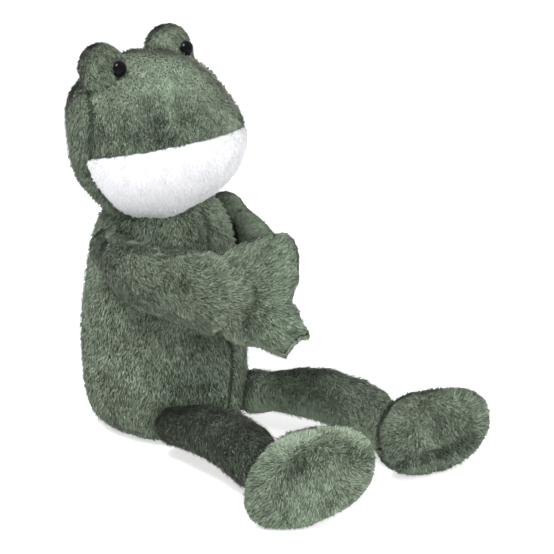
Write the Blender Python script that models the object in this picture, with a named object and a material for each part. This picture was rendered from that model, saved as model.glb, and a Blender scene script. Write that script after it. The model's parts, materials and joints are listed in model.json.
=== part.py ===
"""Plush frog that sits with its legs out and its palms together.

Metres, +Z up. The frog faces -Y, and its right side is at -X. The origin is the middle of
the flat seat, on the surface that the frog sits on.

Each stuffed form is a function of how far it is grown: grown by nothing it is the outside
of the cover, shrunk by the fabric it is the hollow, and shrunk a little more it is the
stuffing. Limbs end in a ball at their joint, which turns in a round hole in what holds it.
"""
import math

import bmesh
import bpy
from mathutils import Matrix, Vector

# Fabric and clearances
fabric = 0.003
stuffing_gap = 0.0004
sewn_gap = 0.0003
turning_gap = 0.0005
floor_flat = 0.0005
overrun = 0.01

# Torso
torso_height = 0.148
belly_half_width = 0.048
belly_half_depth = 0.053
shoulder_radius = 0.0415
pellet_height = 0.034
# share of the height, share of the belly
belly_shares = (
    (0.00, 0.74), (0.02, 0.83), (0.06, 0.905), (0.13, 0.965), (0.30, 1.00),
    (0.45, 0.985), (0.57, 0.945), (0.70, 0.885),
)
# share of the height, share of the shoulder radius
shoulder_shares = ((0.80, 1.00), (0.88, 0.90), (0.94, 0.74), (0.98, 0.46))

# Head, in its own frame, which is tipped back
head_half_width = 0.055
head_half_depth = 0.050
head_half_height = 0.049
head_back = 0.0085
head_above_torso = 0.028
head_tip = math.radians(26)
head_turn = math.radians(4)
# share of the half height, of the half width and depth, and how far back the ring sits
head_shares = (
    (-0.97, 0.34, 0.34, 0.00), (-0.80, 0.69, 0.69, 0.00), (-0.50, 0.93, 0.94, -0.04),
    (-0.16, 1.00, 1.00, -0.06), (0.10, 0.945, 0.94, -0.04), (0.50, 0.84, 0.84, 0.00),
    (0.80, 0.67, 0.65, 0.06), (0.96, 0.36, 0.36, 0.08),
)
mouth_front_drop = 0.013
mouth_side_drop = 0.004
cheek_forward = 0.0024

# Eyes
eye_half_width = 0.0150
eye_half_depth = 0.0138
eye_half_height = 0.0145
eye_place_shares = (0.51, -0.18, 0.94)
eye_look_down = math.radians(22)
bead_radius = 0.005
bead_height = 0.0046
bead_edge_share = 0.9
shank_radius = 0.0015
shank_length = 0.0095
washer_radius = 0.0048
washer_thickness = 0.0012

# Arms and hands. The frog's right hand lies over its left, and both over its chest
shoulder_out = 0.046
shoulder_forward = 0.005
shoulder_below_top = 0.028
arm_radius = 0.0135
arm_bow = 0.022
arm_rises = {"right": 0.0045, "left": -0.0115}
# share of the way from shoulder to hand, of the bow and of the rise, then the arm's half
# thickness and half height as shares of its radius at the shoulder
arm_path_shares = (
    (0.00, 0.00, 0.00, 1.00, 1.00), (0.10, 0.30, 0.26, 0.95, 0.95),
    (0.24, 0.65, 0.58, 1.12, 1.18),
    (0.46, 0.96, 1.00, 1.20, 1.36), (0.71, 0.94, 0.65, 1.08, 1.52),
    (0.88, 0.62, 0.28, 0.88, 1.50), (1.00, 0.00, 0.00, 0.64, 1.20),
)
# where the palms meet: how far to the frog's right, ahead of the chest and below the
# shoulders, and their plane's turn
palm_right = 0.0118
palm_ahead_of_chest = 0.0438
palm_below_shoulder = 0.010
palm_turn = math.radians(45)
hand_drops = {"right": 0.0, "left": 0.011}
hand_length = 0.0435
hand_half_thickness = 0.011
# how slowly a crowned form falls off to its seam: 1 is round, and less is plumper
hand_crown_share = 0.7
palm_half_gap = 0.0015
palm_press = 0.001
# angle from straight ahead in degrees, upwards, and share of the hand's length
hand_outline_shares = (
    (-168, 0.56), (-140, 0.62), (-106, 0.72), (-86, 0.72), (-72, 0.86), (-63, 1.00),
    (-49, 0.91), (-37, 0.99), (-24, 0.74), (-8, 0.57), (6, 0.62), (21, 0.71), (36, 0.80),
    (50, 0.96), (63, 0.98), (75, 0.84), (92, 0.73), (112, 0.68), (150, 0.60),
)
patch_half_width = 0.007
patch_half_height = 0.009
patch_thickness = 0.001
# how full the corners of a flat outline are: 1 is an oval, and less is squarer
patch_corner_share = 0.5

# Legs and feet
hip_out = 0.035
hip_forward = 0.0455
hip_height = 0.0175
leg_radius = 0.0175
hip_ball_radius = 0.0125
ankle_ball_radius = 0.0125
# share of the leg's length and share of its radius
leg_girth_shares = (
    (0.08, 0.69), (0.25, 0.92), (0.45, 1.00), (0.66, 0.99), (0.80, 0.88), (0.90, 0.70),
)
foot_places = {"right": (0.0485, 0.168), "left": (0.056, 0.167)}
leg_bows = {"right": -0.005, "left": 0.008}
leg_rises = {"right": 0.008, "left": 0.0085}
foot_half_length = 0.040
foot_half_width = 0.025
sole_crown = 0.009
upper_crown = 0.019
foot_crown_share = 0.75
ankle_from_middle = 0.017
ankle_behind_sole = 0.0225
# angle from the toe in degrees and share of a true oval
foot_outline_shares = ((0, 1.0), (45, 1.03), (90, 0.98), (135, 0.97), (180, 1.0))
foot_turns = {"right": math.radians(40), "left": math.radians(12)}
foot_rolls = {"right": math.radians(60), "left": math.radians(84)}
foot_lean = math.radians(10)

sides = {"right": -1, "left": 1}


# Meshes

def smooth(rows, steps):
    """Rows of numbers read from the smooth curve that runs through the given rows."""
    last = len(rows) - 1
    read = []
    for i in range(last):
        a, b, c, d = rows[max(i - 1, 0)], rows[i], rows[i + 1], rows[min(i + 2, last)]
        for t in (k / steps for k in range(steps)):
            weights = (
                (2 * t * t - t - t ** 3) / 2,
                (2 - 5 * t * t + 3 * t ** 3) / 2,
                (t + 4 * t * t - 3 * t ** 3) / 2,
                (t ** 3 - t * t) / 2,
            )
            read.append(tuple(
                sum(w * n for w, n in zip(weights, four)) for four in zip(a, b, c, d)
            ))
    read.append(tuple(rows[last]))
    return read


def skin(rings, first_tip=None, last_tip=None):
    """A closed mesh over a row of rings. An end closes on its tip, or flat without one."""
    bm = bmesh.new()
    loops = [[bm.verts.new(p) for p in ring] for ring in rings]
    count = len(loops[0])
    for low, high in zip(loops, loops[1:]):
        for i in range(count):
            j = (i + 1) % count
            bm.faces.new((low[i], low[j], high[j], high[i]))
    for loop, tip in ((loops[0], first_tip), (loops[-1], last_tip)):
        if tip is None:
            bm.faces.new(loop)
            continue
        point = bm.verts.new(tip)
        for i in range(count):
            bm.faces.new((loop[i], loop[(i + 1) % count], point))
    # one rule for all, so that a hollow and what fills it have the same creases
    bmesh.ops.triangulate(bm, faces=bm.faces, quad_method="FIXED")
    bmesh.ops.recalc_face_normals(bm, faces=bm.faces)
    mesh = bpy.data.meshes.new("form")
    bm.to_mesh(mesh)
    bm.free()
    return mesh


def moved(mesh, matrix):
    mesh.transform(matrix)
    return mesh


def level_ring(z, half_width, half_depth, back, count):
    """An oval ring, flat on its height."""
    turn = math.tau / count
    return [
        (half_width * math.cos(turn * i), back + half_depth * math.sin(turn * i), z)
        for i in range(count)
    ]


def ball(radius, centre, count):
    """A round solid with as many sides as asked, and half as many rows."""
    rows = count // 2
    angles = [math.pi * (k / rows - 0.5) for k in range(1, rows)]
    rings = [
        level_ring(radius * math.sin(a), radius * math.cos(a), radius * math.cos(a), 0, count)
        for a in angles
    ]
    return moved(skin(rings, (0, 0, -radius), (0, 0, radius)), Matrix.Translation(centre))


def box(low, high):
    """A block between two corners."""
    bm = bmesh.new()
    bmesh.ops.create_cube(bm, size=1)
    low, high = Vector(low), Vector(high)
    for v in bm.verts:
        v.co = Vector(
            low[i] + (high[i] - low[i]) * (v.co[i] + 1 / 2) for i in range(3)
        )
    mesh = bpy.data.meshes.new("block")
    bm.to_mesh(mesh)
    bm.free()
    return mesh


def turned(profile, count):
    """A solid turned about Y. The profile's points are places along Y and radii."""
    rings = []
    tips = [None, None]
    for k, (along, radius) in enumerate(profile):
        if radius == 0:
            tips[0 if k == 0 else 1] = (0, along, 0)
            continue
        turn = math.tau / count
        rings.append([
            (radius * math.cos(turn * i), along, radius * math.sin(turn * i))
            for i in range(count)
        ])
    return skin(rings, *tips)


def pillow(outline, front, back, rows, crown_share):
    """A crowned solid on a flat outline in XZ, its front crown towards -Y."""
    def ring(angle):
        reach = math.cos(angle) ** crown_share
        rise = math.sin(angle)
        y = -front * rise if rise > 0 else -back * rise
        return [(x * reach, y, z * reach) for x, z in outline]
    angles = [math.pi * (k / rows - 0.5) for k in range(1, rows)]
    return skin([ring(a) for a in angles], (0, back, 0), (0, -front, 0))


# Torso

def torso_rows(grow):
    """Height, half width and half depth of each row of the torso, from the seat up."""
    tall = (torso_height + 2 * grow) / torso_height
    rows = [
        (z * torso_height * tall - grow, (belly_half_width + grow) * s,
         (belly_half_depth + grow) * s)
        for z, s in belly_shares
    ]
    rows += [
        (z * torso_height * tall - grow, (shoulder_radius + grow) * s,
         (shoulder_radius + grow) * s)
        for z, s in shoulder_shares
    ]
    return rows


def torso_form(grow=0.0, count=26):
    rings = [level_ring(z, a, b, 0, count) for z, a, b in torso_rows(grow)]
    return skin(rings, None, (0, 0, torso_height + grow))


def torso_slice(grow, low, high, count):
    """The part of the torso between two heights, cut off flat."""
    rows = torso_rows(grow)
    ends = []
    for height in (low, high):
        for a, b in zip(rows, rows[1:]):
            if a[0] <= height <= b[0]:
                share = (height - a[0]) / (b[0] - a[0])
                ends.append(tuple(p + (q - p) * share for p, q in zip(a, b)))
                break
    kept = [ends[0]] + [r for r in rows if low < r[0] < high] + ends[1:]
    rings = [level_ring(z, a, b, 0, count) for z, a, b in kept]
    tip = None if len(ends) == 2 else (0, 0, torso_height + grow)
    return skin(rings, None, tip)


# Head

head_place = (
    Matrix.Rotation(head_turn, 4, "Z")
    @ Matrix.Translation((0, head_back, torso_height + head_above_torso))
    @ Matrix.Rotation(-head_tip, 4, "X")
)


def head_form(grow=0.0, count=26, steps=2):
    a, b, h = head_half_width + grow, head_half_depth + grow, head_half_height + grow
    rows = smooth(head_shares, steps)
    rings = [level_ring(h * z, a * w, b * d, b * back, count) for z, w, d, back in rows]
    low = (0, b * rows[0][3], -h)
    high = (0, b * rows[-1][3], h)
    return moved(skin(rings, low, high), head_place)


def muzzle_wedge(grow=0.0):
    """The space below the mouth line and in front of the cheeks."""
    ahead = head_half_depth + overrun
    below = head_half_height + overrun
    across = head_half_width + overrun + grow
    steep = (mouth_front_drop - mouth_side_drop) / head_half_depth
    back = grow - cheek_forward
    corners = (
        (back, -mouth_side_drop + steep * back + grow),
        (-ahead - grow, -mouth_side_drop - steep * ahead + grow),
        (-ahead - grow, -below - grow),
        (back, -below - grow),
    )
    rings = [[(x, y, z) for y, z in corners] for x in (-across, across)]
    return moved(skin(rings), head_place)


def eye_place(side):
    """The middle of an eye dome, with -Y along the eye's look."""
    out, back, up = eye_place_shares
    place = Matrix.Translation(
        (sides[side] * out * head_half_width, back * head_half_depth, up * head_half_height)
    )
    return head_place @ place @ Matrix.Rotation(eye_look_down, 4, "X")


def eye_dome(side, grow=0.0, count=14):
    a, b, h = eye_half_width + grow, eye_half_depth + grow, eye_half_height + grow
    outline = [
        (a * math.cos(math.tau * i / count), h * math.sin(math.tau * i / count))
        for i in range(count)
    ]
    return moved(pillow(outline, b, b, count // 2, 1), eye_place(side))


def washer_front():
    """How far ahead of the dome's middle the washer lies flat against the fabric."""
    inner = eye_half_depth - fabric
    share = washer_radius / (eye_half_height - fabric)
    return inner * math.sqrt(1 - share * share) - sewn_gap


def eye_bead(side):
    """A round-fronted bead with its shank."""
    seat = -eye_half_depth - sewn_gap
    steps = 6
    profile = [(seat + shank_length, 0), (seat + shank_length, shank_radius)]
    profile += [(seat, shank_radius), (seat, bead_radius * bead_edge_share)]
    quarter = math.pi / 2
    for k in range(steps):
        angle = quarter * k / steps
        rim = bead_height / steps
        profile.append((
            seat - rim - (bead_height - rim) * math.sin(angle), bead_radius * math.cos(angle)
        ))
    profile.append((seat - bead_height, 0))
    return moved(turned(profile, 20), eye_place(side))


def bead_space(side):
    """What the bead and its washer press into where the dome meets the head."""
    front = -eye_half_depth - bead_height - sewn_gap * 2
    back = -washer_front() + washer_thickness + sewn_gap
    wide = max(bead_radius, washer_radius) + sewn_gap
    return moved(turned(((front, wide), (back, wide)), 16), eye_place(side))


def eye_washer(side):
    """A flat ring that locks the shank from inside the dome."""
    front = -washer_front()
    hole = shank_radius + sewn_gap
    bm = bmesh.new()
    count = 20
    corners = (
        (front, hole), (front, washer_radius), (front + washer_thickness, washer_radius),
        (front + washer_thickness, hole),
    )
    loops = []
    for i in range(count):
        turn = math.tau * i / count
        loops.append([
            bm.verts.new((r * math.cos(turn), y, r * math.sin(turn))) for y, r in corners
        ])
    for i in range(count):
        here, there = loops[i], loops[(i + 1) % count]
        for k in range(4):
            n = (k + 1) % 4
            bm.faces.new((here[k], here[n], there[n], there[k]))
    bmesh.ops.recalc_face_normals(bm, faces=bm.faces)
    mesh = bpy.data.meshes.new("washer")
    bm.to_mesh(mesh)
    bm.free()
    return moved(mesh, eye_place(side))


# Limbs

def tube(rows, grow, count):
    """A tube of oval rings along a path of (point, half thickness, half height).

    Both ends close with the half ball that turns in a joint.
    """
    points = [r[0] for r in rows]
    last = len(rows) - 1
    turn = math.tau / count

    def frame(i):
        along = (points[min(i + 1, last)] - points[max(i - 1, 0)]).normalized()
        across = along.cross(Vector((0, 0, 1))).normalized()
        return along, across, across.cross(along)

    def ring(i, ahead, share):
        along, across, up = frame(i)
        a, b = rows[i][1] + grow, rows[i][2] + grow
        centre = points[i] + along * (a * ahead)
        return [
            centre + across * (a * share * math.cos(turn * k))
            + up * (b * share * math.sin(turn * k))
            for k in range(count)
        ]

    caps = [math.pi / 8 * k for k in (1, 2, 3)]
    rings = [ring(0, -math.sin(c), math.cos(c)) for c in reversed(caps)]
    rings += [ring(i, 0, 1) for i in range(last + 1)]
    rings += [ring(last, math.sin(c), math.cos(c)) for c in caps]
    root = points[0] - frame(0)[0] * (rows[0][1] + grow)
    tip = points[last] + frame(last)[0] * (rows[last][1] + grow)
    return skin(rings, root, tip)


def root_mouth(centre, radius):
    """The open end of a limb's cover, which faces into the torso."""
    inner = radius - 2 * fabric
    mesh = turned(((0, inner), (radius + overrun, inner)), 12)
    turn = math.atan2(centre.x, -centre.y)
    return moved(mesh, Matrix.Translation(centre) @ Matrix.Rotation(turn, 4, "Z"))


def shoulder_place(side):
    height = torso_height - shoulder_below_top
    return Vector((sides[side] * shoulder_out, -shoulder_forward, height))


def palm_frame():
    """Where the palms meet, with +X out of the left palm's back and -Y ahead."""
    height = torso_height - shoulder_below_top - palm_below_shoulder
    forward = shoulder_radius + palm_ahead_of_chest
    place = Matrix.Translation((-palm_right, -forward, height))
    return place @ Matrix.Rotation(palm_turn, 4, "Z")


def hand_frame(side):
    out = sides[side] * (palm_half_gap - palm_press + hand_half_thickness)
    return palm_frame() @ Matrix.Translation((out, 0, -hand_drops[side]))


def arm_rows(side, steps):
    """The arm's path, which bows out and ends in the middle of the hand."""
    start, end = shoulder_place(side), hand_frame(side).translation
    rows = []
    for along, bow, rise, thick, tall in smooth(arm_path_shares, steps):
        bend = Vector((sides[side] * arm_bow * bow, 0, arm_rises[side] * rise))
        rows.append((start.lerp(end, along) + bend, arm_radius * thick, arm_radius * tall))
    return rows


def hand_form(side, grow=0.0, step=9, rows=6):
    """The webbed hand, upright in the palms' plane."""
    table = list(hand_outline_shares)
    around = [(table[-1][0] - 360, table[-1][1])] + table + [(table[0][0] + 360, table[0][1])]
    outline = []
    for angle in range(-163, 197, step):
        for (a, p), (b, q) in zip(around, around[1:]):
            if a <= angle < b:
                ease = (1 - math.cos(math.pi * (angle - a) / (b - a))) / 2
                reach = (hand_length + grow) * (p + (q - p) * ease)
                turn = math.radians(angle)
                outline.append((reach * math.cos(turn), reach * math.sin(turn)))
                break
    thick = hand_half_thickness + grow
    mesh = pillow(outline, thick, thick, rows, hand_crown_share)
    # the outline's ahead becomes -Y, its crown X
    return moved(mesh, hand_frame(side) @ Matrix.Rotation(-math.pi / 2, 4, "Z"))


def palm_patch(side):
    """A flat patch with round corners, sewn on the palm."""
    count = 20
    near = palm_half_gap - sewn_gap
    low = (hand_drops["right"] + hand_drops["left"]) / 2
    outline = []
    for i in range(count):
        turn = math.tau * i / count
        wide, tall = math.cos(turn), math.sin(turn)
        outline.append((
            math.copysign(abs(wide) ** patch_corner_share, wide) * patch_half_width,
            math.copysign(abs(tall) ** patch_corner_share, tall) * patch_half_height - low,
        ))
    rings = [
        [(sides[side] * x, y, z) for y, z in outline] for x in (near, near - patch_thickness)
    ]
    return moved(skin(rings), palm_frame())


def palm_space():
    """The space between the palms, which flattens them."""
    reach = hand_length + fabric
    below = hand_length + max(hand_drops.values()) + fabric
    mesh = box((-palm_half_gap, -reach, -below), (palm_half_gap, reach, reach))
    return moved(mesh, palm_frame())


def hip_place(side):
    return Vector((sides[side] * hip_out, -hip_forward, hip_height))


def foot_frame(side):
    """The foot's turn: its toe along Z, its sole towards -Y."""
    return (
        Matrix.Rotation(-foot_turns[side], 4, "Z")
        @ Matrix.Rotation(-foot_lean, 4, "X")
        @ Matrix.Rotation(foot_rolls[side], 4, "Y")
    )


def foot_outline(grow, count):
    a, h = foot_half_width + grow, foot_half_length + grow
    outline = []
    for i in range(count):
        turn = math.tau * i / count
        from_toe = math.degrees(math.acos(math.cos(turn)))
        for (p, s), (q, t) in zip(foot_outline_shares, foot_outline_shares[1:]):
            if p <= from_toe <= q:
                share = s + (t - s) * (from_toe - p) / (q - p)
                break
        outline.append((a * share * math.sin(turn), h * share * math.cos(turn)))
    return outline


def foot_offset(side):
    """From the ankle to the middle of the foot's outline."""
    turn = foot_frame(side).to_3x3()
    return turn @ Vector((0, -ankle_behind_sole, ankle_from_middle))


def foot_form(side, grow=0.0, count=24, rows=6):
    mesh = pillow(
        foot_outline(grow, count), sole_crown + grow, upper_crown + grow, rows,
        foot_crown_share,
    )
    return moved(mesh, foot_frame(side))


def foot_middle(side):
    """The middle of the foot, at the height that presses its lowest point on the floor."""
    lowest = min(v.co.z for v in foot_form(side).vertices)
    out, forward = foot_places[side]
    return Vector((sides[side] * out, -forward, -lowest - floor_flat))


def foot_place(side):
    return Matrix.Translation(foot_middle(side))


def ankle_place(side):
    return foot_middle(side) - foot_offset(side)


def leg_rows(side):
    hip, ankle = hip_place(side), ankle_place(side)
    table = ((0.0, hip_ball_radius / leg_radius),) + leg_girth_shares
    table += ((1.0, ankle_ball_radius / leg_radius),)
    rows = []
    for along, girth in smooth(table, 1):
        arch = math.sin(math.pi * along)
        bend = Vector((sides[side] * leg_bows[side], 0, leg_rises[side])) * arch
        rows.append((hip.lerp(ankle, along) + bend, leg_radius * girth, leg_radius * girth))
    return rows


def sole_wedge(side, past_seam):
    """The space on the sole's side of the foot's seam, or a little past it."""
    reach = foot_half_length + overrun
    low = (-reach, -reach, -reach)
    return moved(box(low, (reach, past_seam, reach)), foot_place(side) @ foot_frame(side))


def floor_space():
    """What lies below the floor, where the frog's forms press flat."""
    ahead = max(forward for out, forward in foot_places.values())
    wide = max(out for out, forward in foot_places.values())
    reach = 2 * foot_half_length
    return box((-wide - reach, -ahead - reach, -reach), (wide + reach, reach, 0))


# Pieces

def material(name, colour, roughness):
    made = bpy.data.materials.new(name)
    made.use_nodes = True
    shader = made.node_tree.nodes["Principled BSDF"]
    shader.inputs["Base Color"].default_value = (*colour, 1)
    shader.inputs["Roughness"].default_value = roughness
    shader.inputs["Metallic"].default_value = 0
    return made


def piece(name, mesh, finish):
    mesh.name = name
    made = bpy.data.objects.new(name, mesh)
    mesh.materials.append(finish)
    mesh.shade_smooth()
    bpy.context.scene.collection.objects.link(made)
    return made


def tool(name, mesh):
    """A hidden shape that cuts or joins."""
    made = bpy.data.objects.new(name, mesh)
    bpy.context.scene.collection.objects.link(made)
    made.hide_render = True
    made.display_type = "WIRE"
    return made


def change(target, way, *tools):
    """Cuts the tools from a piece, adds them to it, or keeps what they share."""
    for made in tools:
        step = target.modifiers.new(made.name, "BOOLEAN")
        step.operation = way
        step.solver = "EXACT"
        step.object = made


def joint_ball(radius, centre, gap):
    """The ball that turns in its hole, grown by a gap."""
    return ball(radius + gap, centre, 16)


def seat_tool(name, form, radius, centre):
    """Cuts a limb where it meets a larger form, and leaves the ball at its joint whole."""
    made = tool(name, form)
    change(made, "DIFFERENCE", tool(name + "_ball", joint_ball(radius, centre, sewn_gap)))
    return made


def make_torso(finish, stuffing, bag):
    holes = []
    for side in sides:
        armhole = joint_ball(arm_radius, shoulder_place(side), turning_gap)
        holes.append(tool("armhole_" + side, armhole))
        leghole = joint_ball(hip_ball_radius, hip_place(side), turning_gap)
        holes.append(tool("leghole_" + side, leghole))
    cover = piece("torso_cover", torso_form(), finish)
    change(cover, "DIFFERENCE", tool("torso_hollow", torso_form(-fabric, 16)), *holes)
    inside = -fabric - stuffing_gap
    upper = piece(
        "torso_stuffing",
        torso_slice(inside, pellet_height + stuffing_gap, torso_height, 16), stuffing
    )
    pellets = piece("pellet_bag", torso_slice(inside, -inside, pellet_height, 16), bag)
    for made in (upper, pellets):
        change(made, "DIFFERENCE", *holes)


def make_head(finish, white, stuffing):
    neck = tool("neck_space", torso_form(turning_gap))
    hollow = tool("head_hollow", head_form(-fabric, 16, 1))
    cover = piece("head_cover", head_form(), finish)
    beads = [tool("bead_space_" + side, bead_space(side)) for side in sides]
    change(cover, "DIFFERENCE", tool("mouth_cut", muzzle_wedge(sewn_gap)), hollow, neck, *beads)
    muzzle = piece("muzzle_panel", head_form(), white)
    change(muzzle, "INTERSECT", tool("muzzle_space", muzzle_wedge()))
    change(muzzle, "DIFFERENCE", hollow, neck)
    filling = piece("head_stuffing", head_form(-fabric - stuffing_gap, 16, 1), stuffing)
    change(filling, "DIFFERENCE", neck)


def make_eye(side, finish, stuffing, black, plastic):
    skull = tool("eye_seat_" + side, head_form(sewn_gap))
    cover = piece("eye_dome_cover_" + side, eye_dome(side), finish)
    hollow = tool("eye_hollow_" + side, eye_dome(side, -fabric, 12))
    far = -eye_half_depth - overrun
    hole = turned(((far, shank_radius + sewn_gap), (0, shank_radius + sewn_gap)), 16)
    change(
        cover, "DIFFERENCE", hollow, skull,
        tool("shank_hole_" + side, moved(hole, eye_place(side))),
    )
    filling = piece(
        "eye_dome_stuffing_" + side, eye_dome(side, -fabric - stuffing_gap, 12), stuffing
    )
    behind = max(-washer_front() + washer_thickness, shank_length - eye_half_depth) + sewn_gap
    room = turned(((far, washer_radius + sewn_gap), (behind, washer_radius + sewn_gap)), 16)
    change(
        filling, "DIFFERENCE", skull,
        tool("washer_room_" + side, moved(room, eye_place(side))),
    )
    piece("eye_bead_" + side, eye_bead(side), black)
    piece("eye_washer_" + side, eye_washer(side), plastic)


def make_arm(side, finish, stuffing, hooks):
    chest = seat_tool(
        "arm_seat_" + side, torso_form(sewn_gap), arm_radius, shoulder_place(side)
    )
    rows = arm_rows(side, 1)
    skin_rows = arm_rows(side, 2)
    cover = piece("arm_cover_" + side, tube(skin_rows, 0, 14), finish)
    change(cover, "UNION", tool("hand_" + side, hand_form(side)))
    change(
        cover, "DIFFERENCE", tool("palm_space_" + side, palm_space()),
        tool("arm_hollow_" + side, tube(rows, -fabric, 8)),
        tool("arm_mouth_" + side, root_mouth(shoulder_place(side), arm_radius)),
        tool("hand_hollow_" + side, hand_form(side, -fabric, 18, 4)), chest,
    )
    inside = -fabric - stuffing_gap
    filling = piece("arm_stuffing_" + side, tube(rows, inside, 8), stuffing)
    change(filling, "UNION", tool("hand_filling_" + side, hand_form(side, inside, 18, 4)))
    change(filling, "DIFFERENCE", chest)
    piece("palm_patch_" + side, palm_patch(side), hooks)


def make_leg(side, finish, stuffing):
    belly = seat_tool("leg_seat_" + side, torso_form(sewn_gap), hip_ball_radius, hip_place(side))
    foot = seat_tool(
        "foot_seat_" + side, moved(foot_form(side, sewn_gap), foot_place(side)),
        ankle_ball_radius, ankle_place(side)
    )
    rows = leg_rows(side)
    cover = piece("leg_cover_" + side, tube(rows, 0, 14), finish)
    change(
        cover, "DIFFERENCE", tool("leg_hollow_" + side, tube(rows, -fabric, 8)),
        tool("leg_mouth_" + side, root_mouth(hip_place(side), hip_ball_radius)), belly, foot,
    )
    inside = -fabric - stuffing_gap
    filling = piece("leg_stuffing_" + side, tube(rows, inside, 8), stuffing)
    change(filling, "DIFFERENCE", belly, foot)


def make_foot(side, finish, stuffing):
    place = foot_place(side)
    floor = tool("floor_" + side, floor_space())
    hollow = tool("foot_hollow_" + side, moved(foot_form(side, -fabric, 16, 6), place))
    room = joint_ball(ankle_ball_radius, ankle_place(side), turning_gap)
    ankle = tool("ankle_room_" + side, room)
    upper = piece("foot_upper_" + side, moved(foot_form(side), place), finish)
    change(
        upper, "DIFFERENCE",
        tool("sole_cut_" + side, sole_wedge(side, sewn_gap / 2)), hollow, ankle, floor,
    )
    sole = piece("foot_sole_" + side, moved(foot_form(side), place), finish)
    change(sole, "INTERSECT", tool("sole_space_" + side, sole_wedge(side, -sewn_gap / 2)))
    change(sole, "DIFFERENCE", hollow, floor)
    inside = -fabric - stuffing_gap
    filling = piece(
        "foot_stuffing_" + side, moved(foot_form(side, inside, 16, 6), place), stuffing
    )
    change(filling, "DIFFERENCE", ankle)


def main():
    for old in list(bpy.data.objects):
        bpy.data.objects.remove(old, do_unlink=True)
    green = material("green_pile", (0.16, 0.21, 0.15), 0.95)
    white = material("white_looped_pile", (0.87, 0.87, 0.90), 0.9)
    stuffing = material("stuffing", (0.80, 0.80, 0.78), 1.0)
    bag = material("pellet_cotton", (0.62, 0.60, 0.55), 0.9)
    black = material("black_bead", (0.01, 0.01, 0.01), 0.12)
    plastic = material("washer_plastic", (0.7, 0.7, 0.7), 0.4)
    tape = material("hook_and_loop_tape", (0.14, 0.17, 0.13), 0.8)
    make_torso(green, stuffing, bag)
    make_head(green, white, stuffing)
    for side in sides:
        make_eye(side, green, stuffing, black, plastic)
        make_arm(side, green, stuffing, tape)
        make_leg(side, green, stuffing)
        make_foot(side, green, stuffing)


main()
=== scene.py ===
import itertools
import json
import math

import bmesh
import bpy
import numpy as np
from mathutils import Matrix, Vector


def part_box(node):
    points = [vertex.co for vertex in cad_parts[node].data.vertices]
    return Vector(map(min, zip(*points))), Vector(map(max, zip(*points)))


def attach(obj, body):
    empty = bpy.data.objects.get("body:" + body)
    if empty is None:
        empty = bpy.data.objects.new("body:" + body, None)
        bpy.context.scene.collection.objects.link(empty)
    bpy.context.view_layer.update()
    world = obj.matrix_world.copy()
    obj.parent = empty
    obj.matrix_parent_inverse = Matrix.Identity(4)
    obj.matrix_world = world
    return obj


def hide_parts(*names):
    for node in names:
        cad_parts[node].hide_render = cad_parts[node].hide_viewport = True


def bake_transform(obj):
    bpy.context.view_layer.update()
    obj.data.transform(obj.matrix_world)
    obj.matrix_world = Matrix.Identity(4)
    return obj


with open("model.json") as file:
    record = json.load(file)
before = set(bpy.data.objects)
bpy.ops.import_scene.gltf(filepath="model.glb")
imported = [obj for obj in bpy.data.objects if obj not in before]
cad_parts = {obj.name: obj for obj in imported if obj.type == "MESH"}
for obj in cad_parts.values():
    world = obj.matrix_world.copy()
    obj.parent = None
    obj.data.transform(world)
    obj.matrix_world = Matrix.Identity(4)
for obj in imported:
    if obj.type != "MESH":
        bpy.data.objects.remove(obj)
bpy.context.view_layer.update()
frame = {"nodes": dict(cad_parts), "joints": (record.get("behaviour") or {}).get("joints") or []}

# Fabric, in metres: the squares of its mesh, how high its pile stands and its seams
fine_square = 0.0025
hand_square = 0.0018
wide_square = 0.0053
pile_height = 0.0015
pressed_height = 0.0004
seam_width = 0.0022
seam_depth = 0.0012
foot_seam_depth = 0.0002
floor_clear = 0.0002
stuffing_swell = 0.0012
same_spot = 1e-6

# Tufts and loops, in metres, and how far they lift off the fabric
pile_length = 0.0035
pile_width = 0.00058
torso_pile_width = 0.00074
pile_lift = math.radians(24)
loop_length = 0.0018
loop_width = 0.00052
loop_lift = math.radians(26)
root_sink = 0.0004
strand_middle = 0.45

sides = {"right": -1, "left": 1}

# Places that the pieces share with the frame, in metres and degrees
head_middle = (0, 0.0085, 0.176)
head_turned, head_tipped = 4, 26
head_half_depth = 0.050
head_half_sizes = np.array((0.055, head_half_depth, 0.049))
mouth_side_drop = 0.004
mouth_front_drop = 0.0142
mouth_slope = (mouth_front_drop - mouth_side_drop) / head_half_depth
mouth_tilt = 0.035
cheek_forward = -0.0012
palm_middle = (-0.0118, -0.0853, 0.110)
palm_turned = 45
foot_middles = {"right": (-0.0485, -0.168, 0.0276), "left": (0.056, -0.167, 0.0236)}
foot_turns = {"right": 40, "left": 12}
foot_rolls = {"right": 60, "left": 84}
foot_lean = 10

head_frame = (
    Matrix.Rotation(math.radians(head_turned), 4, "Z")
    @ Matrix.Translation(head_middle)
    @ Matrix.Rotation(-math.radians(head_tipped), 4, "X")
)
head_axes = head_frame.to_3x3()
palm_frame = Matrix.Translation(palm_middle) @ Matrix.Rotation(math.radians(palm_turned), 4, "Z")
joint_places = {j["name"]: np.array(j["pos_m"], float) for j in frame["joints"]}

# One set of random numbers for all pieces, drawn in their order
draw = np.random.default_rng(7)
lattice = draw.random((32, 32, 32))


# Numbers

def unit(vectors):
    return vectors / np.maximum(np.linalg.norm(vectors, axis=-1, keepdims=True), 1e-12)


def ease(values, low, high):
    """From 0 to 1 as the values go from low to high, slow at both ends."""
    t = np.clip((values - low) / (high - low), 0, 1)
    return t * t * (3 - 2 * t)


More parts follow.
